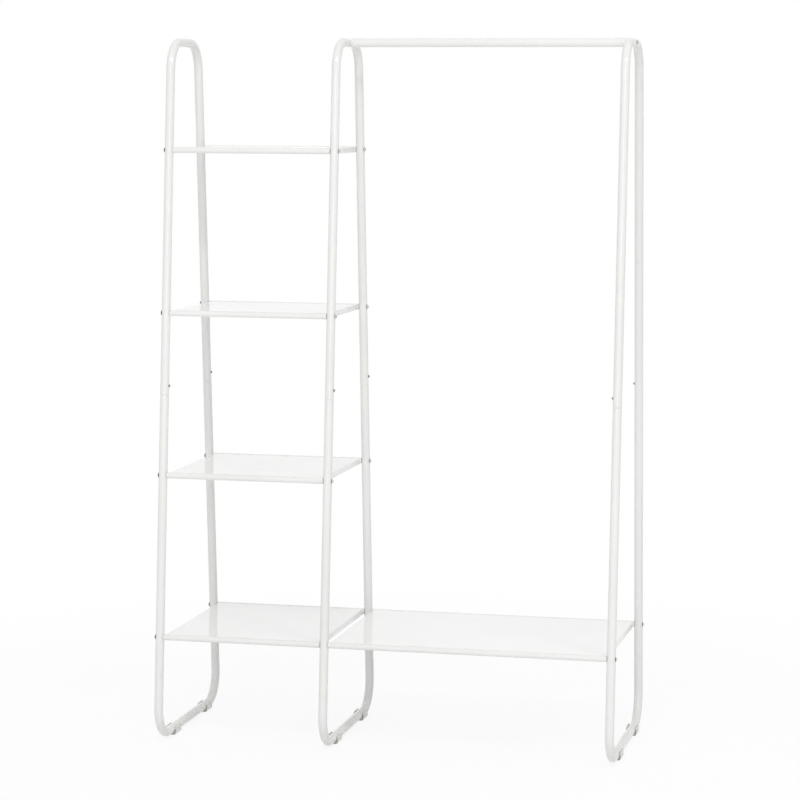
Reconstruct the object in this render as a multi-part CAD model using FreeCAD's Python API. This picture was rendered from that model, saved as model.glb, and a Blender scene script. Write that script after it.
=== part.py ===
import FreeCAD, Part
import math
import os

Vector = FreeCAD.Vector

# All lengths are in millimetres. X runs along the rack, Y from front to rear, Z up from the floor.

# Frames: three closed loops of bent tube, leaning in towards the top
rack_height = 1520.0          # floor to the top of the frames
frame_base_depth = 452.0      # over the tubes at the bottom bar, measured to its unbent corners
frame_top_depth = 210.0       # over the tubes at the top bar, measured to its unbent corners
left_bay_width = 367.0        # between the axes of the left and middle frames
right_bay_width = 618.0       # between the axes of the middle and right frames
tube_diameter = 19.0
tube_wall = 1.2
bottom_bend_radius = 62.0     # at the tube's axis
top_bend_radius = 62.0        # at the tube's axis

# Slip joint in every leg: the lower tube's swaged neck enters the upper tube
joint_drop = 1.0              # of the seam, below the middle of the space between the shelves beside it
neck_length = 55.0
neck_clearance = 0.15         # radial, between neck and upper tube
shoulder_length = 2.6         # of the taper from tube to neck

# Spring button that locks a slip joint
button_height = 19.0          # of its axis, above the seam along the leg
button_diameter = 6.0
button_reach = 3.0            # beyond the tube
button_dome = 2.6             # height of the rounded tip
button_clearance = 0.25       # round the button and behind its flange
button_flange_diameter = 9.0
button_flange_thickness = 1.2
spring_width = 7.0
spring_thickness = 0.6
spring_length = 26.0          # from the button's axis down to the fold
spring_fold_radius = 2.0
spring_fold_flat = 1.5        # width of the fold beyond its two bends
spring_lap = 4.0              # of the leaves, above the button's axis
spring_clearance = 0.05       # to the wall of the neck

# Shelves: a folded sheet between two round rails
base_shelf_height = 232.0     # of the rail axes above the floor
top_shelf_drop = 230.5        # of the top shelf's rail axes below the axis of the frames' top bar
rail_diameter = 13.0
rail_wall = 1.0
sheet_thickness = 0.8
deck_drop = 1.0               # of the sheet's upper face below the top of the rails
side_fold_height = 12.0       # of the edges that are folded down beside the legs
side_fold_radius = 1.8        # outer
sheet_inset = 6.0             # between the folded edges and the frame tubes

# Hanging rod
rod_diameter = 19.0
rod_wall = 1.2

# Button-head bolts, the studs of the middle frame and the threaded plugs that hold them
bolt_diameter = 6.0
bolt_clearance = 0.25         # radial, in the holes through the frame tubes
bolt_engagement = 12.0        # in a plug
bolt_head_diameter = 10.5
bolt_head_height = 2.4
bolt_head_rim = 0.4           # height of the head's straight edge
socket_width = 4.0            # across the flats of the hexagon
socket_depth = 1.8
socket_margin = 0.6           # of the flat ring round the socket
plug_length = 16.0
pin_clearance = 0.1           # radial, round the plain end of a stud

# Clip-on feet
foot_length = 40.0
foot_base = 3.0               # thickness below the tube
foot_wall = 2.2               # thickness of the arms beside the tube
foot_corner_radius = 5.0      # of the lower edges
foot_grip_height = 4.0        # above the axis of the tube, where the arms hold it
foot_tip_rise = 3.0           # of the flared tips, above the grip
foot_lip = 0.6                # of the mouth at the tips, beyond the tube on each side
foot_end_radius = 6.0         # of the arms' corners, seen from the side
front_foot_gap = 22.0         # between a front foot and the bend beside it
rear_foot_gap = 4.0           # between a rear foot and the bend beside it

# Places worked out from the sizes above
tube_radius = tube_diameter / 2
bottom_bar_height = tube_radius + foot_base
top_bar_height = rack_height - tube_radius
base_half_depth = frame_base_depth / 2 - tube_radius
top_half_depth = frame_top_depth / 2 - tube_radius
frame_places = {
    "left": -(left_bay_width + right_bay_width) / 2,
    "middle": (left_bay_width - right_bay_width) / 2,
    "right": (left_bay_width + right_bay_width) / 2,
}
left_shelf_names = ["left_base", "lower", "upper", "top"]
shelf_pitch = (top_bar_height - top_shelf_drop - base_shelf_height) / (len(left_shelf_names) - 1)
shelf_heights = {
    name: base_shelf_height + level * shelf_pitch for level, name in enumerate(left_shelf_names)
}
shelf_heights["right_base"] = base_shelf_height
joint_height = (shelf_heights["lower"] + shelf_heights["upper"]) / 2 - joint_drop
leg_sides = {"front": -1, "rear": 1}
button_sides = {"left": 1, "middle": 1, "right": -1}
neck_radius = tube_radius - tube_wall - neck_clearance
neck_bore_radius = neck_radius - tube_wall


def leg_half_depth(height):
    """Distance of a leg's axis from the middle plane of the rack at a height."""
    share = (height - bottom_bar_height) / (top_bar_height - bottom_bar_height)
    return base_half_depth + share * (top_half_depth - base_half_depth)


def leg_point(frame, leg, height):
    """Point on the axis of a leg."""
    return Vector(frame_places[frame], leg_sides[leg] * leg_half_depth(height), height)


def leg_direction(frame, leg):
    """Unit vector that points up along the axis of a leg."""
    direction = leg_point(frame, leg, top_bar_height) - leg_point(frame, leg, bottom_bar_height)
    return direction.normalize()


def rounded_path(points, radius):
    """Wire of straight runs through the points, with a tangent arc at each corner."""
    edges = []
    start = points[0]
    for corner, beyond in zip(points[1:-1], points[2:]):
        incoming = (corner - start).normalize()
        outgoing = (beyond - corner).normalize()
        turn = incoming.getAngle(outgoing)
        setback = radius * math.tan(turn / 2)
        arc_start = corner - incoming * setback
        arc_end = corner + outgoing * setback
        inwards = (outgoing - incoming).normalize()
        arc_middle = corner + inwards * (radius / math.cos(turn / 2) - radius)
        edges.append(Part.LineSegment(start, arc_start).toShape())
        edges.append(Part.Arc(arc_start, arc_middle, arc_end).toShape())
        start = arc_end
    edges.append(Part.LineSegment(start, points[-1]).toShape())
    return Part.Wire(edges)


def rounded_face(points, radius):
    """Flat face with an outline through the points, rounded at all of them but the two ends."""
    closing = Part.LineSegment(points[-1], points[0]).toShape()
    return Part.Face(Part.Wire(rounded_path(points, radius).Edges + [closing]))


def swept_bar(path, radius):
    """Round bar along a path."""
    first = path.Edges[0]
    start = first.FirstParameter
    circle = Part.makeCircle(radius, first.valueAt(start), first.tangentAt(start))
    return path.makePipeShell([Part.Wire([circle])], True, False)


def bent_tube(path):
    """Frame tube along a path."""
    return swept_bar(path, tube_radius).cut(swept_bar(path, tube_radius - tube_wall))


def turned(profile, base, axis):
    """Solid of revolution: profile points are (distance along the axis, radius)."""
    across = Vector(0, 1, 0) if abs(axis.y) < 0.5 else Vector(0, 0, 1)
    outwards = across.cross(axis).normalize()
    points = [base + axis * along + outwards * radius for along, radius in profile]
    face = Part.Face(Part.makePolygon(points + points[:1]))
    return face.revolve(base, axis, 360)


def cross_hole(centre, diameter):
    """Cutter for a hole through both walls of a frame tube, along X."""
    length = 2 * tube_diameter
    return Part.makeCylinder(diameter / 2, length, centre - Vector(length / 2, 0, 0), Vector(1, 0, 0))


def frame_bolt_holes(frame):
    """Cutters for all the bolts that pass through one frame."""
    shelves = {"left": left_shelf_names, "middle": left_shelf_names, "right": ["right_base"]}[frame]
    centres = [leg_point(frame, leg, shelf_heights[shelf]) for shelf in shelves for leg in leg_sides]
    if frame != "left":
        centres.append(Vector(frame_places[frame], 0, top_bar_height))
    return [cross_hole(centre, bolt_diameter + 2 * bolt_clearance) for centre in centres]


def button_centre(frame, leg):
    """Where a button's axis crosses the axis of its leg."""
    return leg_point(frame, leg, joint_height) + leg_direction(frame, leg) * button_height


def button_holes(frame):
    """Cutters for the buttons of one frame, through one side of the leg."""
    outwards = Vector(button_sides[frame], 0, 0)
    radius = button_diameter / 2 + button_clearance
    centres = [button_centre(frame, leg) for leg in leg_sides]
    return [Part.makeCylinder(radius, tube_diameter, centre, outwards) for centre in centres]


def upper_frame(frame):
    """Inverted U of tube that slips over the necks of the lower frame."""
    points = [
        leg_point(frame, "front", joint_height),
        leg_point(frame, "front", top_bar_height),
        leg_point(frame, "rear", top_bar_height),
        leg_point(frame, "rear", joint_height),
    ]
    tube = bent_tube(rounded_path(points, top_bend_radius))
    return tube.cut(frame_bolt_holes(frame) + button_holes(frame))


def neck(frame, leg):
    """Swaged end of a lower tube: the taper and the neck above it."""
    profile = [
        (-shoulder_length, tube_radius - tube_wall),
        (-shoulder_length, tube_radius),
        (0, tube_radius - tube_wall),
        (neck_clearance, neck_radius),
        (neck_length, neck_radius),
        (neck_length, neck_bore_radius),
        (neck_clearance, neck_bore_radius),
    ]
    return turned(profile, leg_point(frame, leg, joint_height), leg_direction(frame, leg))


def lower_frame(frame):
    """U of tube that stands on the feet, with a neck at each end."""
    points = [
        leg_point(frame, "front", joint_height) - leg_direction(frame, "front") * shoulder_length,
        leg_point(frame, "front", bottom_bar_height),
        leg_point(frame, "rear", bottom_bar_height),
        leg_point(frame, "rear", joint_height) - leg_direction(frame, "rear") * shoulder_length,
    ]
    tube = bent_tube(rounded_path(points, bottom_bend_radius))
    necked = tube.fuse([neck(frame, leg) for leg in leg_sides])
    return necked.cut(frame_bolt_holes(frame) + button_holes(frame))


def flange_seat():
    """Distance from a leg's axis to the outer face of a button's flange at rest."""
    return math.sqrt(neck_bore_radius**2 - (button_flange_diameter / 2) ** 2) - button_clearance


def snap_button(frame, leg):
    """Domed button with a flange that keeps it inside the neck."""
    radius = button_diameter / 2
    tip = tube_radius + button_reach
    dome_start = tip - button_dome
    dome_radius = (button_dome**2 + radius**2) / (2 * button_dome)
    half_angle = math.asin(radius / dome_radius) / 2
    dome_middle = (tip - dome_radius * (1 - math.cos(half_angle)), dome_radius * math.sin(half_angle))
    base = button_centre(frame, leg)
    axis = Vector(button_sides[frame], 0, 0)
    flange_back = flange_seat() - button_flange_thickness

    def place(along, distance):
        return base + axis * along + Vector(0, 0, distance)

    outline = [
        place(flange_back, 0),
        place(flange_back, button_flange_diameter / 2),
        place(flange_seat(), button_flange_diameter / 2),
        place(flange_seat(), radius),
        place(dome_start, radius),
    ]
    dome = Part.Arc(place(dome_start, radius), place(*dome_middle), place(tip, 0)).toShape()
    closing = Part.LineSegment(place(tip, 0), place(flange_back, 0)).toShape()
    face = Part.Face(Part.Wire(Part.makePolygon(outline).Edges + [dome, closing]))
    return face.revolve(base, axis, 360)


def snap_spring(frame, leg):
    """Folded strip of spring steel between a button's flange and the far wall of the neck."""
    upwards = leg_direction(frame, leg)
    outwards = Vector(button_sides[frame], 0, 0)
    across = upwards.cross(outwards)
    base = button_centre(frame, leg)
    wall = math.sqrt(neck_bore_radius**2 - (spring_width / 2) ** 2)
    near = flange_seat() - button_flange_thickness - spring_thickness / 2
    far = spring_thickness / 2 + spring_clearance - wall
    fold_middle = base + outwards * ((near + far) / 2) - upwards * spring_length
    fold_half_width = outwards * (spring_fold_radius + spring_fold_flat / 2)
    points = [
        base + outwards * near + upwards * spring_lap,
        fold_middle + fold_half_width,
        fold_middle - fold_half_width,
        base + outwards * far + upwards * spring_lap,
    ]
    path = rounded_path(points, spring_fold_radius)
    thickness_way = (points[1] - points[0]).normalize().cross(across)
    corners = [(-1, -1), (1, -1), (1, 1), (-1, 1), (-1, -1)]
    section = Part.makePolygon(
        [
            points[0] + across * (wide * spring_width / 2) + thickness_way * (thick * spring_thickness / 2)
            for wide, thick in corners
        ]
    )
    return path.makePipeShell([section], True, False)


def bay(left_frame, right_frame):
    """X of the tube sides that face each other in the space between two frames."""
    return frame_places[left_frame] + tube_radius, frame_places[right_frame] - tube_radius


def shelf_bay(shelf):
    """X of the tube sides on both ends of a shelf."""
    return bay("middle", "right") if shelf == "right_base" else bay("left", "middle")


def tube_along_x(start, end, depth, height, diameter, wall):
    """Straight tube with square ends."""
    length = end - start
    base = Vector(start, depth, height)
    outer = Part.makeCylinder(diameter / 2, length, base, Vector(1, 0, 0))
    return outer.cut(Part.makeCylinder(diameter / 2 - wall, length, base, Vector(1, 0, 0)))


def shelf_rail(shelf, leg):
    """Round rail that butts against the legs at both ends."""
    start, end = shelf_bay(shelf)
    height = shelf_heights[shelf]
    depth = leg_sides[leg] * leg_half_depth(height)
    return tube_along_x(start, end, depth, height, rail_diameter, rail_wall)


def shelf_panel(shelf):
    """Sheet with its ends folded down, fitted against the backs of both rails."""
    start, end = shelf_bay(shelf)
    height = shelf_heights[shelf]
    half_depth = leg_half_depth(height)
    deck = height + rail_diameter / 2 - deck_drop
    hem = deck - side_fold_height

    def outline(inset, radius):
        left = start + sheet_inset + inset
        right = end - sheet_inset - inset
        corners = [(left, hem), (left, deck - inset), (right, deck - inset), (right, hem)]
        return rounded_path([Vector(x, -half_depth, z) for x, z in corners], radius)

    outer = outline(0, side_fold_radius)
    inner = outline(sheet_thickness, side_fold_radius - sheet_thickness)
    ends = [
        Part.LineSegment(outer.Edges[0].valueAt(0), inner.Edges[0].valueAt(0)).toShape(),
        Part.LineSegment(outer.Edges[-1].lastVertex().Point, inner.Edges[-1].lastVertex().Point).toShape(),
    ]
    section = Part.Wire(Part.__sortEdges__(outer.Edges + inner.Edges + ends))
    sheet = Part.Face(section).extrude(Vector(0, 2 * half_depth, 0))
    rail_bases = [Vector(start, side * half_depth, height) for side in leg_sides.values()]
    return sheet.cut(
        [Part.makeCylinder(rail_diameter / 2, end - start, base, Vector(1, 0, 0)) for base in rail_bases]
    )


def plug(face_x, inwards, depth, height, diameter, bore):
    """Bored plug inside a tube end, flush with the end face."""
    profile = [(0, bore / 2), (0, diameter / 2), (plug_length, diameter / 2), (plug_length, bore / 2)]
    return turned(profile, Vector(face_x, depth, height), Vector(inwards, 0, 0))


def shelf_plugs(shelf):
    """The four plugs of a shelf; those that slide over a stud's plain end are bored a little wider."""
    start, end = shelf_bay(shelf)
    height = shelf_heights[shelf]
    diameter = rail_diameter - 2 * rail_wall
    start_bore = bolt_diameter + (2 * pin_clearance if shelf == "right_base" else 0)
    plugs = []
    for side in leg_sides.values():
        depth = side * leg_half_depth(height)
        plugs.append(plug(start, 1, depth, height, diameter, start_bore))
        plugs.append(plug(end, -1, depth, height, diameter, bolt_diameter))
    return Part.makeCompound(plugs)


def bolt(frame, head_side, depth, height):
    """Button-head bolt through a frame tube, with its head on one side of the tube."""
    axis = Vector(-head_side, 0, 0)
    seat = Vector(frame_places[frame] + head_side * tube_radius, depth, height)
    radius = bolt_head_diameter / 2
    corner_distance = socket_width / math.sqrt(3)
    flat_radius = corner_distance + socket_margin
    shank_end = tube_diameter + bolt_engagement
    rise = bolt_head_height - bolt_head_rim
    dome_centre = (bolt_head_height + bolt_head_rim - (radius**2 - flat_radius**2) / rise) / 2
    dome_radius = math.hypot(radius, bolt_head_rim - dome_centre)
    flat_angle = math.atan2(flat_radius, bolt_head_height - dome_centre)
    rim_angle = math.atan2(radius, bolt_head_rim - dome_centre)
    middle_angle = (flat_angle + rim_angle) / 2

    def place(along, distance):
        return seat + axis * along + Vector(0, 0, distance)

    crown_height = dome_centre + dome_radius * math.cos(middle_angle)
    crown_middle = place(-crown_height, dome_radius * math.sin(middle_angle))
    outline = [
        place(-bolt_head_height, flat_radius),
        place(-bolt_head_height, 0),
        place(shank_end, 0),
        place(shank_end, bolt_diameter / 2),
        place(0, bolt_diameter / 2),
        place(0, radius),
        place(-bolt_head_rim, radius),
    ]
    crown = Part.Arc(outline[-1], crown_middle, outline[0]).toShape()
    face = Part.Face(Part.Wire(Part.makePolygon(outline).Edges + [crown]))
    body = face.revolve(seat, axis, 360)
    hexagon = [
        place(-bolt_head_height, 0)
        + Vector(0, corner_distance * math.sin(turn), corner_distance * math.cos(turn))
        for turn in (math.radians(60 * step) for step in range(7))
    ]
    return body.cut(Part.Face(Part.makePolygon(hexagon)).extrude(axis * socket_depth))


def shelf_bolts(frame, head_side, shelves):
    """Bolts that hold the ends of some shelves to one frame."""
    places = [(side * leg_half_depth(shelf_heights[name]), shelf_heights[name])
              for name in shelves for side in leg_sides.values()]
    return Part.makeCompound([bolt(frame, head_side, depth, height) for depth, height in places])


def base_studs():
    """Headless studs of the middle frame: each joins the base shelves on both sides of a leg."""
    length = tube_diameter + 2 * bolt_engagement
    start = frame_places["middle"] - length / 2
    studs = []
    for side in leg_sides.values():
        base = Vector(start, side * leg_half_depth(base_shelf_height), base_shelf_height)
        studs.append(Part.makeCylinder(bolt_diameter / 2, length, base, Vector(1, 0, 0)))
    return Part.makeCompound(studs)


def foot(frame, leg):
    """Clip under the bottom bar: a cradle with a flat base and two arms that grip the tube."""
    side = leg_sides[leg]
    gap = {"front": front_foot_gap, "rear": rear_foot_gap}[leg]
    bend = leg_direction(frame, leg).getAngle(Vector(0, side, 0))
    outer_end = base_half_depth - bottom_bend_radius * math.tan(bend / 2) - gap
    start = outer_end - foot_length if leg == "rear" else -outer_end
    end = start + foot_length
    x = frame_places[frame]
    half_width = tube_radius + foot_wall
    grip = bottom_bar_height + foot_grip_height
    tips = grip + foot_tip_rise
    along = Vector(0, foot_length, 0)

    def section(corners):
        return [Vector(x + across, start, height) for across, height in corners]

    cradle_corners = [(-half_width, tips), (-half_width, 0), (half_width, 0), (half_width, tips)]
    cradle = rounded_face(section(cradle_corners), foot_corner_radius).extrude(along)
    side_corners = [(start, 0), (start, tips), (end, tips), (end, 0)]
    side_view = [Vector(x - half_width, depth, height) for depth, height in side_corners]
    rounded_ends = rounded_face(side_view, foot_end_radius).extrude(Vector(2 * half_width, 0, 0))
    grip_half_width = math.sqrt(tube_radius**2 - foot_grip_height**2)
    mouth_half_width = tube_radius + foot_lip
    mouth_corners = [(-grip_half_width, grip), (grip_half_width, grip)]
    mouth_corners += [(mouth_half_width, tips), (-mouth_half_width, tips)]
    mouth_outline = Part.makePolygon(section(mouth_corners + mouth_corners[:1]))
    mouth = Part.Face(mouth_outline).extrude(along)
    tube = Part.makeCylinder(tube_radius, foot_length, Vector(x, start, bottom_bar_height), Vector(0, 1, 0))
    return cradle.common(rounded_ends).cut([tube, mouth])


nodes = {}
for frame in frame_places:
    nodes["upper_frame_" + frame] = upper_frame(frame)
    nodes["lower_frame_" + frame] = lower_frame(frame)
    for leg in leg_sides:
        nodes["foot_" + frame + "_" + leg] = foot(frame, leg)
        nodes["snap_button_" + frame + "_" + leg] = snap_button(frame, leg)
        nodes["snap_spring_" + frame + "_" + leg] = snap_spring(frame, leg)

for shelf in shelf_heights:
    nodes[shelf + "_shelf_panel"] = shelf_panel(shelf)
    nodes[shelf + "_shelf_end_plugs"] = shelf_plugs(shelf)
    for leg in leg_sides:
        nodes[shelf + "_shelf_" + leg + "_rail"] = shelf_rail(shelf, leg)

nodes["left_frame_shelf_bolts"] = shelf_bolts("left", -1, left_shelf_names)
nodes["middle_frame_shelf_bolts"] = shelf_bolts("middle", 1, left_shelf_names[1:])
nodes["right_frame_shelf_bolts"] = shelf_bolts("right", 1, ["right_base"])
nodes["middle_frame_base_studs"] = base_studs()

rod_start, rod_end = bay("middle", "right")
rod_bore = rod_diameter - 2 * rod_wall
nodes["hanging_rod"] = tube_along_x(rod_start, rod_end, 0, top_bar_height, rod_diameter, rod_wall)
nodes["hanging_rod_end_plugs"] = Part.makeCompound(
    [
        plug(rod_start, 1, 0, top_bar_height, rod_bore, bolt_diameter),
        plug(rod_end, -1, 0, top_bar_height, rod_bore, bolt_diameter),
    ]
)
nodes["hanging_rod_bolts"] = Part.makeCompound(
    [bolt("middle", -1, 0, top_bar_height), bolt("right", 1, 0, top_bar_height)]
)

os.makedirs("parts", exist_ok=True)
for name, shape in nodes.items():
    shape.exportStep("parts/" + name + ".step")
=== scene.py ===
import math

import bmesh
import bpy
import numpy as np
from mathutils import Matrix, Vector


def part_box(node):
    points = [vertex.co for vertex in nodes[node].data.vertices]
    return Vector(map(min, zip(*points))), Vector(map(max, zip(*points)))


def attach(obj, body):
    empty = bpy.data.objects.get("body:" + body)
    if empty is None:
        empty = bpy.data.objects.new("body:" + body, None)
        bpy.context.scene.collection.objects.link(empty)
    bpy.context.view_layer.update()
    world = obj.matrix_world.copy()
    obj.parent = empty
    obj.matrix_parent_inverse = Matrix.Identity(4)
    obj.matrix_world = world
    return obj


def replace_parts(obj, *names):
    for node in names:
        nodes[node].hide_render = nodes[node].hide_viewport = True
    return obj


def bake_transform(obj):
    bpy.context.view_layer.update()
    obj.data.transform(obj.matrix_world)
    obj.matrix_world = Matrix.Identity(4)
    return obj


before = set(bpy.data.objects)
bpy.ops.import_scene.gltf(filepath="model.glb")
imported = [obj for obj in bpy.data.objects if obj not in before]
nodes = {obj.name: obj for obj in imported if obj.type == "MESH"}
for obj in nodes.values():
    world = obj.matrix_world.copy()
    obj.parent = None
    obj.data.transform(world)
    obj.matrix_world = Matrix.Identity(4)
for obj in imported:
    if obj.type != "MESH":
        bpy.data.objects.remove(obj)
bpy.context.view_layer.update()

print("stage: frame loaded,", len(nodes), "nodes")

# Places read from the frame
leftShelves = ["left_base", "lower", "upper", "top"]
rightShelves = ["right_base"]
shelfNames = leftShelves + rightShelves
legNames = ["front", "rear"]
frameNames = ["left", "middle", "right"]


def boxCentre(node):
    low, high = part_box(node)
    return (low + high) / 2


def railAxis(shelf, leg):  # y and z of a shelf rail, which meets the middle of the leg
    centre = boxCentre(f"{shelf}_shelf_{leg}_rail")
    return centre.y, centre.z


def tubeSide(frameName, side):  # x of a frame tube's left (-1) or right (1) flank
    low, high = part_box(f"upper_frame_{frameName}")
    return high.x if side > 0 else low.x


def legLean(leg):  # angle between a leg and the vertical, positive where it leans to the rear
    (y0, z0), (y1, z1) = railAxis("left_base", leg), railAxis("top", leg)
    return math.atan2(y1 - y0, z1 - z0)


tubeRadius = (tubeSide("left", 1) - tubeSide("left", -1)) / 2

# Node helpers
noiseLook = {"span": (0.3, 0.7), "detail": 3.0, "roughness": 0.55}  # span: where most of the values lie


def newMaterial(name):
    material = bpy.data.materials.new(name)
    material.use_nodes = True
    tree = material.node_tree
    return material, tree, tree.nodes["Principled BSDF"]


def addNode(tree, kind, values=None, **settings):
    node = tree.nodes.new(kind)
    for key, value in settings.items():
        setattr(node, key, value)
    for key, value in (values or {}).items():
        node.inputs[key].default_value = value
    return node


def objectCoordinate(tree):
    return addNode(tree, "ShaderNodeTexCoord").outputs["Object"]


def combine(tree, operation, first, second):  # one number worked out from two
    node = addNode(tree, "ShaderNodeMath", operation=operation)
    tree.links.new(first, node.inputs[0])
    tree.links.new(second, node.inputs[1])
    return node.outputs["Value"]


def noise(tree, coordinate, scale, detail=noiseLook["detail"], stretch=(1, 1, 1)):
    mapping = addNode(tree, "ShaderNodeMapping", {"Scale": stretch})
    tree.links.new(coordinate, mapping.inputs["Vector"])
    values = {"Scale": scale, "Detail": detail, "Roughness": noiseLook["roughness"]}
    node = addNode(tree, "ShaderNodeTexNoise", values)
    tree.links.new(mapping.outputs["Vector"], node.inputs["Vector"])
    return node.outputs["Fac"]


def spread(tree, source, low, high):  # stretches a noise over a range
    start, end = noiseLook["span"]
    values = {"From Min": start, "From Max": end, "To Min": low, "To Max": high}
    node = addNode(tree, "ShaderNodeMapRange", values)
    tree.links.new(source, node.inputs["Value"])
    return node.outputs["Result"]


def tint(tree, source, dark, light):  # colour between two tones
    node = addNode(tree, "ShaderNodeMix", data_type="RGBA")
    node.inputs["A"].default_value = (*dark, 1)
    node.inputs["B"].default_value = (*light, 1)
    tree.links.new(source, node.inputs["Factor"])
    return node.outputs["Result"]


def paintedShadeMix(tree, body, edge):  # painted shade: goes over to a second colour where a piece's own painted-shade attribute is 1
    paintedShade = addNode(tree, "ShaderNodeAttribute", attribute_name="paintedShade")
    node = addNode(tree, "ShaderNodeMix", data_type="RGBA")
    node.inputs["B"].default_value = (*edge, 1)
    tree.links.new(paintedShade.outputs["Fac"], node.inputs["Factor"])
    tree.links.new(body, node.inputs["A"])
    return node.outputs["Result"]


def bumped(tree, shader, heights, strength, distance):  # adds several height signals into one bump
    total = heights[0]
    for height in heights[1:]:
        total = combine(tree, "ADD", total, height)
    bump = addNode(tree, "ShaderNodeBump", {"Strength": strength, "Distance": distance})
    tree.links.new(total, bump.inputs["Height"])
    tree.links.new(bump.outputs["Normal"], shader.inputs["Normal"])


# White powder coat: orange peel, slow change of tone and gloss; edge is the colour of painted shade in the
# joints
coat = {
    "tube": {"dark": (0.775, 0.775, 0.758), "light": (0.82, 0.82, 0.803), "edge": (0.12, 0.12, 0.115),
             "gloss": (0.12, 0.18), "peel": 520.0, "depth": 0.00002},
    "sheet": {"dark": (0.88, 0.88, 0.875), "light": (0.92, 0.92, 0.915), "edge": (0.12, 0.12, 0.115),
              "gloss": (0.06, 0.10), "peel": 380.0, "depth": 0.00001},
}
coatPattern = {"tone": 3.5, "toneDetail": 4.0, "gloss": 14.0, "glossDetail": 2.0, "peelDetail": 2.0,
               "peelsPerRipple": 6, "rippleDetail": 1.0, "bump": 0.35, "ior": 1.5}  # tone, gloss: scales


def powderCoat(name, look, pattern):
    material, tree, shader = newMaterial(name)
    place = objectCoordinate(tree)
    tone = noise(tree, place, pattern["tone"], pattern["toneDetail"])
    body = tint(tree, spread(tree, tone, 0, 1), look["dark"], look["light"])
    colour = paintedShadeMix(tree, body, look["edge"])  # painted shade in the joints, where a piece carries shade numbers
    tree.links.new(colour, shader.inputs["Base Color"])
    gloss = noise(tree, place, pattern["gloss"], pattern["glossDetail"])
    tree.links.new(spread(tree, gloss, *look["gloss"]), shader.inputs["Roughness"])
    peel = noise(tree, place, look["peel"], pattern["peelDetail"])
    ripple = noise(tree, place, look["peel"] / pattern["peelsPerRipple"], pattern["rippleDetail"])
    bumped(tree, shader, [peel, ripple], pattern["bump"], look["depth"])
    shader.inputs["IOR"].default_value = pattern["ior"]
    return material


# Plated metal: cloudy tone, fine grain in gloss and height; edge is the colour of painted shade
metal = {
    "zinc": {"dark": (0.74, 0.745, 0.75), "light": (0.90, 0.905, 0.91), "edge": (0.05, 0.05, 0.055),
             "gloss": (0.12, 0.24), "grain": 900.0, "stretch": (1, 1, 1)},
    "spring": {"dark": (0.20, 0.20, 0.21), "light": (0.34, 0.34, 0.35), "edge": (0.05, 0.05, 0.05),
               "gloss": (0.24, 0.42), "grain": 700.0, "stretch": (1, 1, 0.2)},
}
metalPattern = {"cloud": 160.0, "bump": 0.3, "depth": 0.00002}


def metalFinish(name, look, pattern):
    material, tree, shader = newMaterial(name)
    place = objectCoordinate(tree)
    grain = noise(tree, place, look["grain"], stretch=look["stretch"])
    cloud = noise(tree, place, pattern["cloud"])
    body = tint(tree, spread(tree, cloud, 0, 1), look["dark"], look["light"])
    colour = paintedShadeMix(tree, body, look["edge"])  # painted shade in the sockets, at the seats and round the domes' edges
    tree.links.new(colour, shader.inputs["Base Color"])
    tree.links.new(spread(tree, grain, *look["gloss"]), shader.inputs["Roughness"])
    bumped(tree, shader, [grain], pattern["bump"], pattern["depth"])
    shader.inputs["Metallic"].default_value = 1.0
    return material


# Milky clear plastic of the feet; edge is the colour of painted shade at the ends and tips
footLook = {"dark": (0.84, 0.835, 0.79), "light": (0.90, 0.895, 0.85), "edge": (0.42, 0.415, 0.37),
            "gloss": (0.22, 0.32), "clear": 0.25, "ior": 1.49, "cloud": 120.0, "smear": 60.0,
            "grain": 900.0, "bump": 0.25, "depth": 0.00001}


def clearPlastic(name, look):
    material, tree, shader = newMaterial(name)
    place = objectCoordinate(tree)
    cloud = noise(tree, place, look["cloud"])
    body = tint(tree, spread(tree, cloud, 0, 1), look["dark"], look["light"])
    colour = paintedShadeMix(tree, body, look["edge"])  # painted shade, darker at the ends and arm tips, where one looks along the wall
    tree.links.new(colour, shader.inputs["Base Color"])
    smear = noise(tree, place, look["smear"])
    tree.links.new(spread(tree, smear, *look["gloss"]), shader.inputs["Roughness"])
    bumped(tree, shader, [noise(tree, place, look["grain"])], look["bump"], look["depth"])
    shader.inputs["Transmission Weight"].default_value = look["clear"]
    shader.inputs["IOR"].default_value = look["ior"]
    return material


tubeCoat = powderCoat("tube_powder_coat", coat["tube"], coatPattern)
sheetCoat = powderCoat("sheet_powder_coat", coat["sheet"], coatPattern)
zincPlate = metalFinish("zinc_plate", metal["zinc"], metalPattern)
springSteel = metalFinish("spring_steel_strip", metal["spring"], metalPattern)
footPlastic = clearPlastic("milky_foot_plastic", footLook)


def finishFor(node):
    if node.startswith("foot_"):
        return footPlastic
    if node.startswith("snap_"):
        return springSteel
    if node.endswith(("_bolts", "_studs")):
        return zincPlate
    return sheetCoat if node.endswith("_panel") else tubeCoat


for name, item in nodes.items():
    for slot in item.material_slots:
        slot.material = finishFor(name)
print("stage: finishes set on", len(nodes), "nodes")

# Mesh helpers
skinning = {"mergeDistance": 1e-6, "smoothAngle": 35.0}


def gridFaces(rows, columns):  # quads of a grid that closes on itself along the columns
    row, column = np.meshgrid(np.arange(rows - 1), np.arange(columns), indexing="ij")
    here, above, after = row * columns, (row + 1) * columns, (column + 1) % columns
    return np.stack([here + column, here + after, above + after, above + column], -1).reshape(-1, 4)


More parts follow.
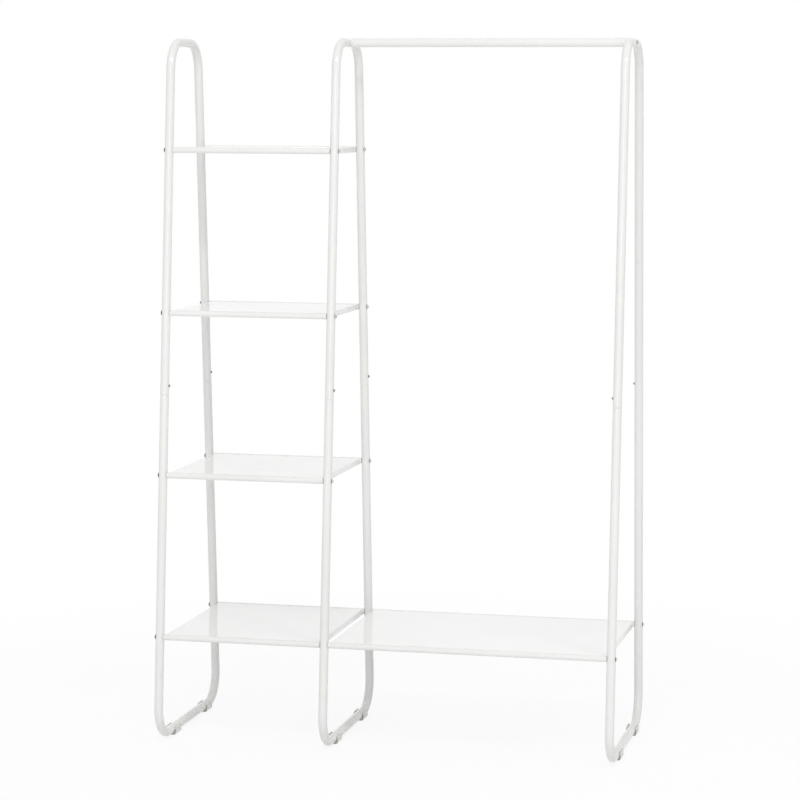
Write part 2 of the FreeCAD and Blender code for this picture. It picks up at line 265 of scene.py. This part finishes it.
def addPiece(name, grids, finish, body="rack", paintedShade=None):
    # grids: array of (copies, rows, columns, 3) points; each copy is one closed skin
    # painted shade: one number per point; a piece given no body is not attached
    copies, rows, columns, _ = grids.shape
    quads = gridFaces(rows, columns)
    faces = (quads[None] + (np.arange(copies) * rows * columns)[:, None, None]).reshape(-1, 4)
    mesh = bpy.data.meshes.new(name)
    mesh.from_pydata(grids.reshape(-1, 3), [], faces)
    mesh.materials.append(finish)
    if paintedShade is not None:
        mesh.attributes.new("paintedShade", "FLOAT", "POINT").data.foreach_set("value", paintedShade.ravel())
    skin = bmesh.new()
    skin.from_mesh(mesh)
    bmesh.ops.remove_doubles(skin, verts=skin.verts, dist=skinning["mergeDistance"])  # closes the poles
    bmesh.ops.recalc_face_normals(skin, faces=skin.faces)
    skin.to_mesh(mesh)
    skin.free()
    mesh.shade_smooth()
    mesh.set_sharp_from_angle(angle=math.radians(skinning["smoothAngle"]))
    piece = bpy.data.objects.new(name, mesh)
    bpy.context.scene.collection.objects.link(piece)
    if body:
        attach(piece, body)
    return piece


def aroundAxis(columns):  # angles of one turn
    return np.linspace(0, 2 * math.pi, columns, endpoint=False)[None]


def turnedSkin(along, reach, angle):  # points at a distance along x and a radius about it
    return np.stack([along + 0 * angle, reach * np.cos(angle), reach * np.sin(angle)], -1)


def threadGroove(along, angle, look):
    # a triangle wave as deep as the thread, which climbs one pitch per turn
    phase = (along / look["pitch"] - angle / (2 * math.pi)) % 1
    return look["threadDepth"] * np.abs(2 * phase - 1)


# Button-head bolts: domed head, hexagon socket, rolled thread
boltShape = {"headRadius": 0.00525, "edgeHeight": 0.0004, "socketFlats": 0.004, "socketDepth": 0.0018,
             "socketMargin": 0.0006, "drillPoint": 0.3, "chamfer": 0.0003, "underEdge": 0.0002,
             "shankRadius": 0.003, "threadLength": 0.018, "pitch": 0.001, "threadDepth": 0.00055,
             "columns": 48, "domePoints": 9, "stepsPerPitch": 6, "edgePaintedShade": 0.9, "paintedShadePower": 5,
             "mouthPaintedShade": 0.5, "threadPaintedShade": 0.2}  # lengths in metres, painted shades from 0 to 1


def boltProfile(headHeight, shankLength, look):
    # from the socket's floor out over a flat ring, a part of a sphere and down the shank: distance from the
    # seat, radius, share of hexagon, painted shade; the sphere's middle lies on the axis, as far from the
    # ring as from the edge
    corner, chamfer = look["socketFlats"] / math.sqrt(3), look["chamfer"]
    floor, edgePaintedShade = -headHeight + look["socketDepth"], look["edgePaintedShade"]
    socket = np.array([[floor + corner * look["drillPoint"], 0, 1, 1], [floor, corner, 1, 1],
                       [-headHeight + chamfer, corner, 1, edgePaintedShade],
                       [-headHeight, corner + chamfer, 0, look["mouthPaintedShade"]]])
    ring, edge, rise = corner + look["socketMargin"], look["headRadius"], look["edgeHeight"]
    middle = (headHeight + rise - (edge ** 2 - ring ** 2) / (headHeight - rise)) / 2
    sphere = math.hypot(edge, rise - middle)
    ringTurn, edgeTurn = math.atan2(ring, headHeight - middle), math.atan2(edge, rise - middle)
    turn = np.linspace(ringTurn, edgeTurn, look["domePoints"])
    domePaintedShade = edgePaintedShade * np.linspace(0, 1, look["domePoints"]) ** look["paintedShadePower"]
    dome = np.stack([-middle - sphere * np.cos(turn), sphere * np.sin(turn), 0 * turn, domePaintedShade], 1)
    under = np.array([[-look["underEdge"], edge, 0, edgePaintedShade], [0, edge - look["underEdge"], 0, 1],
                      [0, look["shankRadius"], 0, 1]])
    start, threadPaintedShade = shankLength - look["threadLength"], look["threadPaintedShade"]
    steps = round(look["threadLength"] / look["pitch"]) * look["stepsPerPitch"]
    along = np.linspace(start, shankLength - look["pitch"], steps)
    shank = np.full_like(along, look["shankRadius"])
    thread = np.stack([along, shank, 0 * along, 0 * along + threadPaintedShade], 1)
    tip = np.array([[shankLength, look["shankRadius"] - look["threadDepth"], 0, threadPaintedShade],
                    [shankLength, 0, 0, threadPaintedShade]])
    return np.concatenate([socket, dome, under, thread, tip]), start


def boltSkin(headHeight, shankLength, look):
    # the profile turned about the bolt's axis; the radius shrinks to a hexagon's in the socket and by the
    # groove in the thread
    profile, start = boltProfile(headHeight, shankLength, look)
    along, radius, hexagon, paintedShade = (column[:, None] for column in profile.T)
    angle = aroundAxis(look["columns"])
    flat = math.cos(math.pi / 6) / np.cos((angle + math.pi / 6) % (math.pi / 3) - math.pi / 6)
    threaded = np.clip((along - start) / look["pitch"], 0, 1) * (along < shankLength - look["pitch"] / 2)
    groove = threadGroove(along, angle, look) * threaded * (radius >= look["shankRadius"])
    reach = radius * (1 - hexagon + hexagon * flat) - groove
    return turnedSkin(along, reach, angle), paintedShade + 0 * angle


boltSeat = tubeSide("left", -1)
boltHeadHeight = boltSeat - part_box("left_frame_shelf_bolts")[0].x
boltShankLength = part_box("left_frame_shelf_bolts")[1].x - boltSeat


def addBolts(node, seats):  # seats: frame, side of the head, y and z
    skin, paintedShade = boltSkin(boltHeadHeight, boltShankLength, boltShape)
    turned = []
    for frameName, side, y, z in seats:
        turned.append(np.array([tubeSide(frameName, side), y, z]) + skin * np.array([-side, 1, 1]))
    paintedShades = np.tile(paintedShade, (len(seats), 1, 1))
    piece = addPiece(node + "_turned", np.array(turned), zincPlate, paintedShade=paintedShades)
    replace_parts(piece, node)


def shelfSeats(frameName, side, shelves):
    return [(frameName, side, *railAxis(shelf, leg)) for shelf in shelves for leg in legNames]


addBolts("left_frame_shelf_bolts", shelfSeats("left", -1, leftShelves))
addBolts("middle_frame_shelf_bolts", shelfSeats("middle", 1, leftShelves[1:]))  # studs hold both base shelves
addBolts("right_frame_shelf_bolts", shelfSeats("right", 1, rightShelves))
rodAxis = boxCentre("hanging_rod")
addBolts("hanging_rod_bolts", [("middle", -1, rodAxis.y, rodAxis.z), ("right", 1, rodAxis.y, rodAxis.z)])
print("stage: bolts turned")

# Studs of the middle frame: thread at the left end, plain at the right
studShape = {"chamfer": 0.0005, "threadLength": 0.013}


def studSkin(length, look, bolt):
    # a chamfered bar turned about its axis; the groove cuts its thread
    radius, chamfer, threadLength = bolt["shankRadius"], look["chamfer"], look["threadLength"]
    steps = round(threadLength / bolt["pitch"]) * bolt["stepsPerPitch"]
    thread = np.linspace(chamfer, threadLength, steps)
    along = np.concatenate([[0, 0], thread, [length - chamfer, length, length]])
    reach = np.full_like(along, radius)
    reach[[0, -1]] = 0
    reach[[1, -2]] = radius - chamfer
    along, reach = along[:, None], reach[:, None]
    angle = aroundAxis(bolt["columns"])
    threaded = np.clip((threadLength - along) / bolt["pitch"], 0, 1) * (reach >= radius)
    return turnedSkin(along, reach - threadGroove(along, angle, bolt) * threaded, angle)


studLow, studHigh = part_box("middle_frame_base_studs")
stud = studSkin(studHigh.x - studLow.x, studShape, boltShape)
studs = np.array([np.array([studLow.x, *railAxis("left_base", leg)]) + stud for leg in legNames])
studPiece = addPiece("middle_frame_base_studs_turned", studs, zincPlate)
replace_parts(studPiece, "middle_frame_base_studs")
print("stage: studs turned")

# Moulded feet: a cradle and two arms that grip the bottom bar, all edges softened
footShape = {"gap": 0.00015, "corner": 0.005, "grip": 0.004, "lip": 0.0006, "endRadius": 0.006,
             "soften": 0.0006, "tipRound": 0.0008, "tipPaintedShade": 0.5, "endStart": 0.5}  # endStart in radians; the tip value is painted shade along the arm tips
footPoints = {"soften": 6, "end": 8, "tip": 5, "side": 12, "corner": 10, "base": 8, "flare": 7, "bore": 22}


def footRows(low, high, look, points):
    # places along y, closer together towards both ends, and their distance from the nearer end
    soften = np.linspace(0, math.pi / 2, points["soften"])
    end = np.linspace(look["endStart"], math.pi / 2, points["end"])
    fromEnd = np.concatenate([look["soften"] * (1 - np.cos(soften)), look["endRadius"] * (1 - np.cos(end))])
    y = np.concatenate([low.y + fromEnd, (high.y - fromEnd)[::-1]])
    return y[:, None], np.concatenate([fromEnd, fromEnd[::-1]])[:, None]


def quarterDrop(radius, fromEnd):
    # how far a quarter circle lies below its top: its radius less the square root of that radius squared
    # less the distance to the top squared
    return radius - np.sqrt(radius ** 2 - np.clip(radius - fromEnd, 0, None) ** 2)


def bothSides(x, z):  # half of an outline and its mirror image
    return np.stack([np.hstack([x, -x[:, -2::-1]]), np.hstack([z, z[:, -2::-1]])], -1)


def footSection(low, high, axis, fromEnd, look, points):
    # outside a round tip, a straight side, a round corner and a flat base; inside the same tip, a flared
    # mouth and the tube's circle. Towards the ends the tips sink along a quarter circle, and the whole
    # outline draws in along a smaller one
    sink, inset = quarterDrop(look["endRadius"], fromEnd), quarterDrop(look["soften"], fromEnd)
    halfWidth, corner = (high.x - low.x) / 2 - inset, look["corner"] - inset
    bore = tubeRadius + look["gap"] + inset
    top = high.z - sink - inset - look["tipRound"]
    ringTop = np.minimum(top - axis, look["grip"])
    ringReach = np.sqrt(bore ** 2 - ringTop ** 2)
    gripReach = math.sqrt(tubeRadius ** 2 - look["grip"] ** 2)
    slope = (tubeRadius + look["lip"] - gripReach) / (high.z - axis - look["grip"])
    lipReach = ringReach + slope * (top - axis - ringTop)
    tip = np.linspace(math.pi / 2, 0, points["tip"])[None, :-1]
    tipMiddle, tipHalf = (halfWidth + lipReach) / 2, (halfWidth - lipReach) / 2
    tipZ = top + look["tipRound"] * np.sin(tip)
    down = np.linspace(1, 0, points["side"])[None, :-1]
    turn = np.linspace(0, math.pi / 2, points["corner"])[None]
    across = np.linspace(1, 0, points["base"])[None, 1:]
    outerX = np.hstack([tipMiddle + tipHalf * np.cos(tip), halfWidth + 0 * down,
                        halfWidth - corner + corner * np.cos(turn), (halfWidth - corner) * across])
    outerZ = np.hstack([tipZ, look["corner"] + (top - look["corner"]) * down,
                        look["corner"] - corner * np.sin(turn), inset + 0 * across])
    flare = np.linspace(1, 0, points["flare"])[None, :-1]
    mouth = np.arcsin(ringTop / bore)
    angle = mouth + (-math.pi / 2 - mouth) * np.linspace(0, 1, points["bore"])[None]
    innerX = np.hstack([tipMiddle - tipHalf * np.cos(tip), ringReach + (lipReach - ringReach) * flare,
                        bore * np.cos(angle)])
    innerZ = np.hstack([tipZ, axis + ringTop + (top - axis - ringTop) * flare, axis + bore * np.sin(angle)])
    return bothSides(outerX, outerZ), bothSides(innerX, innerZ), inset


def footSkin(low, high, axis, look, points):
    # the section carried along y; each end closes on the line midway between outer and inner wall
    y, fromEnd = footRows(low, high, look, points)
    outer, inner, inset = footSection(low, high, axis, fromEnd, look, points)
    middle = (outer + inner) / 2
    ring = np.concatenate([outer, inner[:, -2:0:-1]], 1)
    seam = np.concatenate([middle, middle[:, -2:0:-1]], 1)
    x, z = np.moveaxis(np.concatenate([seam[:1], ring, seam[-1:]]), -1, 0)
    depth = np.concatenate([y[:1], y, y[-1:]]) + 0 * x
    # painted shade: growing towards each end over the softened part, and along both arm tips
    paintedShade = np.concatenate([inset[:1], inset, inset[-1:]]) / look["soften"] + 0 * x
    tips = np.zeros(ring.shape[1])
    tips[[0, outer.shape[1] - 1]] = look["tipPaintedShade"]
    return np.stack([(low.x + high.x) / 2 + x, depth, z], -1), np.maximum(paintedShade, tips)


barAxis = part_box("lower_frame_left")[0].z + tubeRadius
for frameName in frameNames:
    for leg in legNames:
        node = f"foot_{frameName}_{leg}"
        skin, paintedShade = footSkin(*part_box(node), barAxis, footShape, footPoints)
        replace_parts(addPiece(node + "_moulded", skin[None], footPlastic, paintedShade=paintedShade), node)
print("stage: feet moulded")

# Rails with both ends cut round, so that they hug the legs
# painted shade on the cut ends: full at the front joints, lighter at the rear
railShape = {"cut": 0.020, "gap": 0.0001, "edge": 0.0003, "columns": 64,
             "cutPaintedShade": {"front": 1.0, "rear": 0.35}}


def railSkin(shelf, leg, look):
    # a bar along x, turned from rings of growing radius; its ends are hollowed by a round cut wider than the
    # leg: beside the leg's middle a point reaches further, by the cut's radius less the square root of that
    # radius squared less the point's offset squared
    low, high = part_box(f"{shelf}_shelf_{leg}_rail")
    radius = (high.z - low.z) / 2
    lean = legLean(leg)
    ring = np.array([0, radius / 2, radius - look["edge"], radius])[:, None]
    drawn = np.array([0, 0, 0, look["edge"]])[:, None]
    angle = aroundAxis(look["columns"])
    y, z = ring * np.cos(angle), ring * np.sin(angle)
    aside = y * math.cos(lean) - z * math.sin(lean)
    reach = tubeRadius + look["gap"] - look["cut"] + np.sqrt(look["cut"] ** 2 - aside ** 2) + drawn
    starts, ends = low.x - tubeRadius + reach, high.x + tubeRadius - reach
    x = np.concatenate([starts, ends[::-1]])
    y, z = np.concatenate([y, y[::-1]]), np.concatenate([z, z[::-1]])
    centre = (low + high) / 2
    cutFace = np.concatenate([ring, ring[::-1]]) < radius
    paintedShade = look["cutPaintedShade"][leg] * cutFace + 0 * x  # painted shade on the cut faces, which lie in the dark of the joint
    return np.stack([x, centre.y + y, centre.z + z], -1), paintedShade


for shelf in shelfNames:
    for leg in legNames:
        node = f"{shelf}_shelf_{leg}_rail"
        skin, paintedShade = railSkin(shelf, leg, railShape)
        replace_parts(addPiece(node + "_cut", skin[None], tubeCoat, paintedShade=paintedShade), node)
print("stage: rails cut to the legs")

# Sheets with their ends folded down close to the legs
sheetShape = {"thickness": 0.0008, "bend": 0.0018, "gap": 0.0025, "bendPoints": 8, "deckPoints": 13,
              "rows": 9}


def sheetSection(half, hem, deck, inset, look):
    # half of an outline up a fold, round a quarter circle and along the deck to its middle, then in mirror
    # image
    turn = np.linspace(math.pi, math.pi / 2, look["bendPoints"])
    bend = look["bend"] - inset
    flat = np.linspace(look["bend"] - half, 0, look["deckPoints"])[1:-1]
    x = np.concatenate([[inset - half], look["bend"] - half + bend * np.cos(turn), flat])
    z = np.concatenate([[hem], deck - look["bend"] + bend * np.sin(turn), deck - inset + 0 * flat])
    return np.concatenate([x, -x[::-1]]), np.concatenate([z, z[::-1]])


def sheetSkin(shelf, look):
    # the outline and the one a sheet's thickness inside it, carried from rail to rail; each point ends where
    # it meets the rail's circle, and each long edge closes on the line midway between the two outlines
    low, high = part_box(f"{shelf}_shelf_panel")
    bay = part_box(f"{shelf}_shelf_front_rail")
    (front, height), (rear, _) = railAxis(shelf, "front"), railAxis(shelf, "rear")
    half, radius = (bay[1].x - bay[0].x) / 2 - look["gap"], (bay[1].z - bay[0].z) / 2
    share = np.linspace(0, 1, look["rows"])[:, None]
    sides = []
    for inset in (0, look["thickness"]):
        x, z = sheetSection(half, low.z, high.z, inset, look)
        aside = np.sqrt(np.clip(radius ** 2 - (z - height) ** 2, 0, None))
        y = front + aside + (rear - front - 2 * aside) * share
        sides.append(np.stack([(bay[0].x + bay[1].x) / 2 + x + 0 * y, y, z + 0 * y], -1))
    outer, inner = sides
    middle = (outer + inner) / 2
    ring = np.concatenate([outer, inner[:, ::-1]], 1)
    seam = np.concatenate([middle, middle[:, ::-1]], 1)
    return np.concatenate([seam[:1], ring, seam[-1:]])


for shelf in shelfNames:
    node = f"{shelf}_shelf_panel"
    skin = sheetSkin(shelf, sheetShape)
    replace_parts(addPiece(node + "_folded", skin[None], sheetCoat), node)
print("stage: sheets folded")

# Springs behind the buttons: folded strips; on the rack the near leaf is the one that gives as the button
# goes in
springShape = {"width": 0.007, "thickness": 0.0006, "edge": 0.0001, "length": 0.026, "lap": 0.004,
               "foldRadius": 0.002, "foldFlat": 0.0015, "bendShare": 0.9, "leafPoints": 30,
               "foldPoints": 10, "cornerPoints": 4}  # bendShare: of the way from the fold to the flange


def springLine(near, far, look):
    # the strip's middle line, in distances towards the button and up the leg: down a straight leaf, round
    # about a quarter circle, over a short flat and the same back in mirror image; also the directions through
    # the strip and the corner that the quarter circle rounds
    middle, radius = (near + far) / 2, look["foldRadius"]
    corner = np.array([middle + radius + look["foldFlat"] / 2, -look["length"]])
    lean = math.atan2(near - corner[0], look["lap"] + look["length"])
    leaf = np.array([math.sin(lean), math.cos(lean)])
    bend = corner + leaf * radius * math.tan(math.pi / 4 - lean / 2)
    turn = np.linspace(-lean, -math.pi / 2, look["foldPoints"])
    through = np.stack([np.cos(turn), np.sin(turn)], 1)
    top = np.array([near, look["lap"]]) - leaf * look["edge"]
    straight = np.linspace(top, bend, look["leafPoints"])
    half = np.concatenate([straight, bend + radius * (through - through[0])[1:]])
    through = np.concatenate([np.tile(through[0], (look["leafPoints"] - 1, 1)), through])
    ends = np.stack([top + leaf * look["edge"]] * 2)
    half, through = np.concatenate([ends, half]), np.concatenate([through[:2], through])
    mirror = np.array([-1, 1])
    line = np.concatenate([half, half[::-1] * mirror + [2 * middle, 0]])
    return line, np.concatenate([through, through[::-1] * mirror]), corner


def springSkin(line, through, look):
    # a rectangle with rounded corners carried along the line; each end has a flat face and closes at its
    # middle
    full = np.ones((len(line), 1))
    full[[0, -1]] = 0
    rounded = full.copy()
    rounded[[1, -2]] = 0
    quadrant, part = np.divmod(np.arange(4 * look["cornerPoints"]), look["cornerPoints"])
    angle = (quadrant + part / (look["cornerPoints"] - 1)) * math.pi / 2
    diagonal = (quadrant + 0.5) * math.pi / 2
    side, face = np.sign(np.cos(diagonal)), np.sign(np.sin(diagonal))
    across = full * side * (look["width"] / 2 - look["edge"]) + rounded * look["edge"] * np.cos(angle)
    depth = full * face * (look["thickness"] / 2 - look["edge"]) + rounded * look["edge"] * np.sin(angle)
    return across, line[:, None] + depth[..., None] * through[:, None]


def addSpring(frameName, leg, look):
    button, node = f"snap_button_{frameName}_{leg}", f"snap_spring_{frameName}_{leg}"
    low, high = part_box(button)
    axis = np.array([boxCentre(f"upper_frame_{frameName}").x, *((low + high) / 2).yz])
    side = 1 if (low.x + high.x) / 2 > axis[0] else -1
    inner, outer = (low.x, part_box(node)[0].x) if side > 0 else (high.x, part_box(node)[1].x)
    near = side * (inner - axis[0]) - look["thickness"] / 2
    far = side * (outer - axis[0]) + look["thickness"] / 2
    lean = legLean(leg)
    towards, upwards = np.array([side, 0, 0]), np.array([0, math.sin(lean), math.cos(lean)])
    line, through, corner = springLine(near, far, look)
    across, flat = springSkin(line, through, look)
    skin = axis + flat[..., :1] * towards + flat[..., 1:] * upwards
    skin = skin + across[..., None] * np.cross(upwards, towards)
    piece = addPiece(node + "_folded", skin[None], springSteel, body=None)
    # works out a line from the fold nearly to the button's lower edge, along a direction in which the far
    # leaf's top lies level with the fold and so stays; the strip is not bent along it here
    aside = corner - np.array([far, look["lap"]])
    along = np.array([-aside[1], aside[0]]) / math.hypot(*aside)
    flange = np.array([near, -(high.z - low.z) / 2])
    end = corner + along * ((flange - corner) @ along) * look["bendShare"]
    start, end = (axis + point[0] * towards + point[1] * upwards for point in (corner, end))
    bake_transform(piece)
    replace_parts(piece, node)


for frameName in frameNames:
    for leg in legNames:
        addSpring(frameName, leg, springShape)
print("stage: springs folded")

# Stitch welds under each sheet, in the corner between sheet and rail
weldShape = {"length": 0.014, "radius": 0.0021, "ripple": 0.07, "ripples": 9, "perMetre": 9,
             "inwards": 0.0047, "above": 0.0045, "rows": 41, "columns": 16}


def weldSkin(look):
    # a bead along x: its radius goes with the square root of one less the fourth power of the share of half
    # its length, and carries a sine wave of small ripples
    share = np.linspace(-1, 1, look["rows"])[:, None]
    ripple = 1 + look["ripple"] * np.sin(math.pi * look["ripples"] * share)
    reach = look["radius"] * np.sqrt(1 - share ** 4) * ripple
    return turnedSkin(share * look["length"] / 2, reach, aroundAxis(look["columns"]))


def addWelds(shelf, look):
    low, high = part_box(f"{shelf}_shelf_panel")
    count = round((high.x - low.x) * look["perMetre"])
    places = low.x + (high.x - low.x) * (np.arange(count) + 0.5) / count
    beads = []
    for leg, inwards in (("front", 1), ("rear", -1)):
        y, z = railAxis(shelf, leg)
        beadY, beadZ = y + inwards * look["inwards"], z + look["above"]
        centres = np.stack([places, 0 * places + beadY, 0 * places + beadZ], -1)
        beads.append(centres[:, None, None] + weldSkin(look)[None])
    addPiece(f"{shelf}_shelf_welds", np.concatenate(beads), tubeCoat)


for shelf in shelfNames:
    addWelds(shelf, weldShape)
print("stage: welds laid")

# Lamps
lamps = {
    "high": {"place": (0.4, -4.2, 5.0), "aim": (0, 0, 0.8), "size": 0.8, "power": 44},
    "right": {"place": (3.8, -3.2, 4.6), "aim": (0.1, 0, 0.8), "size": 1.6, "power": 42},
    "front": {"place": (1.1, -4.9, 1.9), "aim": (0, 0, 0.8), "size": 2.4, "power": 28},
}
for name, lamp in lamps.items():
    data = bpy.data.lights.new(name + "_softbox", "AREA")
    data.size = lamp["size"]
    data.energy = lamp["power"]
    box = bpy.data.objects.new(name + "_softbox", data)
    box.location = lamp["place"]
    box.rotation_euler = (Vector(lamp["aim"]) - Vector(lamp["place"])).to_track_quat("-Z", "Y").to_euler()
    box.visible_camera = False
    bpy.context.scene.collection.objects.link(box)

# World and floor, white to the eye
studio = {"white": (1, 1, 1, 1), "ambient": 0.97, "sideAmbient": 0.22, "floorTone": 0.92, "floorSize": 60.0,
          "shadowShare": 0.13, "shadowReach": (0.9, 1.9)}


def seenDirectly(tree):  # 1 for rays from the camera, from a mirror or through clear plastic
    path = addNode(tree, "ShaderNodeLightPath")
    seen = combine(tree, "MAXIMUM", path.outputs["Is Camera Ray"], path.outputs["Is Glossy Ray"])
    return combine(tree, "MAXIMUM", seen, path.outputs["Is Transmission Ray"])


def mixShaders(tree, share, first, second):
    node = addNode(tree, "ShaderNodeMixShader")
    tree.links.new(share, node.inputs["Fac"])
    tree.links.new(first, node.inputs[1])
    tree.links.new(second, node.inputs[2])
    return node.outputs["Shader"]


def addWorld(look):  # its light is dimmer from both sides, by the square of the direction's x
    world = bpy.data.worlds.new("white_studio")
    bpy.context.scene.world = world
    world.use_nodes = True
    tree = world.node_tree
    tree.nodes.clear()
    backdrop = addNode(tree, "ShaderNodeBackground", {"Color": look["white"], "Strength": 1.0})
    ambient = addNode(tree, "ShaderNodeBackground", {"Color": look["white"]})
    direction = addNode(tree, "ShaderNodeSeparateXYZ")
    tree.links.new(addNode(tree, "ShaderNodeTexCoord").outputs["Generated"], direction.inputs["Vector"])
    sideways = combine(tree, "MULTIPLY", direction.outputs["X"], direction.outputs["X"])
    level = addNode(tree, "ShaderNodeMapRange", {"To Min": look["ambient"], "To Max": look["sideAmbient"]})
    tree.links.new(sideways, level.inputs["Value"])
    tree.links.new(level.outputs["Result"], ambient.inputs["Strength"])
    light, seen = ambient.outputs["Background"], backdrop.outputs["Background"]
    output = addNode(tree, "ShaderNodeOutputWorld")
    tree.links.new(mixShaders(tree, seenDirectly(tree), light, seen), output.inputs["Surface"])


def floorPaper(name, look):
    # matte to the lamps; seen directly it is mostly white, with a share of the shadow near the rack
    paper, tree, _ = newMaterial(name)
    tree.nodes.clear()
    matte = addNode(tree, "ShaderNodeBsdfDiffuse", {"Color": (look["floorTone"],) * 3 + (1,)})
    white = addNode(tree, "ShaderNodeEmission", {"Color": look["white"], "Strength": 1.0})
    distance = addNode(tree, "ShaderNodeVectorMath", operation="LENGTH")
    tree.links.new(objectCoordinate(tree), distance.inputs[0])
    near, far = look["shadowReach"]
    values = {"From Min": near, "From Max": far, "To Min": 1 - look["shadowShare"], "To Max": 1.0}
    fade = addNode(tree, "ShaderNodeMapRange", values)
    tree.links.new(distance.outputs["Value"], fade.inputs["Value"])
    share = combine(tree, "MULTIPLY", fade.outputs["Result"], seenDirectly(tree))
    output = addNode(tree, "ShaderNodeOutputMaterial")
    shader = mixShaders(tree, share, matte.outputs["BSDF"], white.outputs["Emission"])
    tree.links.new(shader, output.inputs["Surface"])
    return paper


def addFloor(look):
    half = look["floorSize"] / 2
    mesh = bpy.data.meshes.new("floor")
    corners = [(-half, -half, 0), (half, -half, 0), (half, half, 0), (-half, half, 0)]
    mesh.from_pydata(corners, [], [(0, 1, 2, 3)])
    mesh.materials.append(floorPaper("white_floor", look))
    floor = bpy.data.objects.new("floor", mesh)
    bpy.context.scene.collection.objects.link(floor)


addWorld(studio)
addFloor(studio)
print("stage: lamps, world and floor")

# Camera at the photograph's view: turned about the upright, tipped down, then rolled, in radians
view = {"place": (1.33853, -5.79921, 1.39733), "turn": 0.22806, "tip": 0.10994, "roll": 0.0033,
        "focalPixels": 2755.36, "imagePixels": 800, "sensorWidth": 36.0, "clipEnd": 200.0}
camera = bpy.data.cameras.new("photo_view")
camera.sensor_width = view["sensorWidth"]
camera.lens = view["focalPixels"] / view["imagePixels"] * view["sensorWidth"]
camera.clip_end = view["clipEnd"]
stand = bpy.data.objects.new("photo_view", camera)
bpy.context.scene.collection.objects.link(stand)
turned = Matrix.Rotation(view["turn"], 4, "Z")
tipped = Matrix.Rotation(math.pi / 2 - view["tip"], 4, "X")
rolled = Matrix.Rotation(view["roll"], 4, "Z")
facing = turned @ tipped @ rolled
stand.matrix_world = Matrix.Translation(view["place"]) @ facing
bpy.context.scene.camera = stand
bpy.context.scene.view_settings.view_transform = "Standard"
print("stage: camera set")
